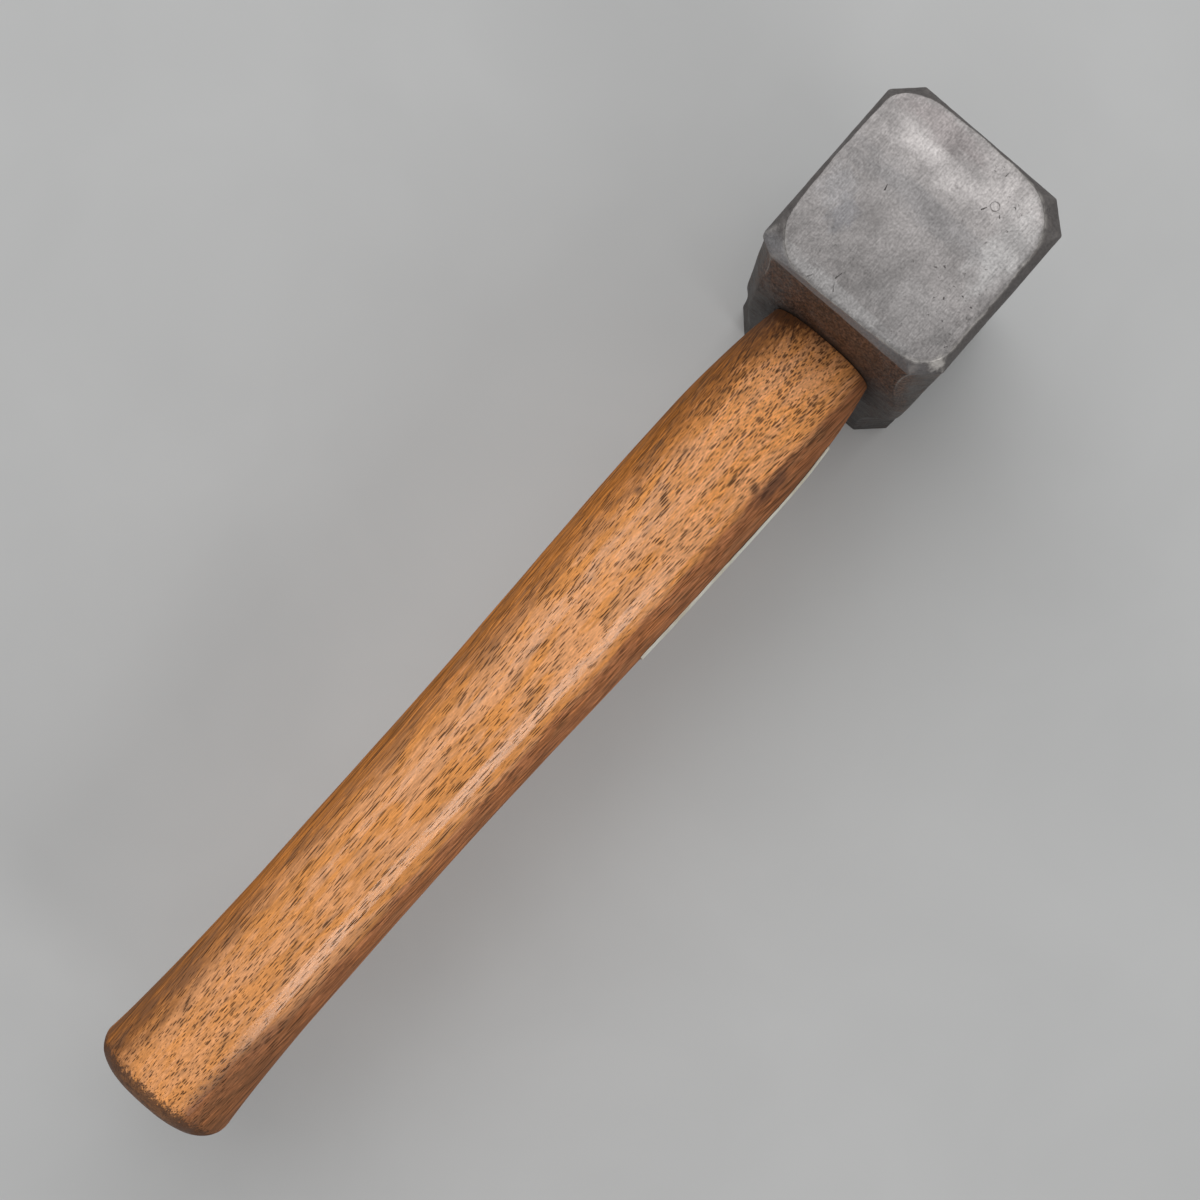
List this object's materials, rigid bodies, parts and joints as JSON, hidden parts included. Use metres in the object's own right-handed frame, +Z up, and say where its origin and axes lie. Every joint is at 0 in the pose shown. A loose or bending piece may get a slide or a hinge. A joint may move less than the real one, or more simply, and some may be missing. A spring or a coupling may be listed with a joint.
{
  "type": "club hammer",
  "caption": "Club hammer: a square forged steel head with a ground striking face at each end, wedged on a short oval wooden handle.",
  "frame": {"origin": "centre of the flat of the lower striking face, on which the hammer stands", "axes": "+Z up through the head to the upper striking face, +X from the butt of the handle to the head, +Y across the head from cheek to cheek"},
  "size_m": [0.2683, 0.0458, 0.11],
  "materials": {
    "forged_steel": "ground striking faces, brown-grey forged sides with light rust",
    "handle_wood": "varnished open-pored hardwood, worn and stained",
    "wedge_wood": "bare sawn hardwood",
    "wedge_steel": "dark mild steel",
    "label_paper": "aged pale paper, blank"
  },
  "bodies": {
    "root": {"head": "forged_steel", "handle": "handle_wood", "wooden_wedge": "wedge_wood", "steel_wedges": "wedge_steel", "paper_label": "label_paper"}
  },
  "joints": []
}
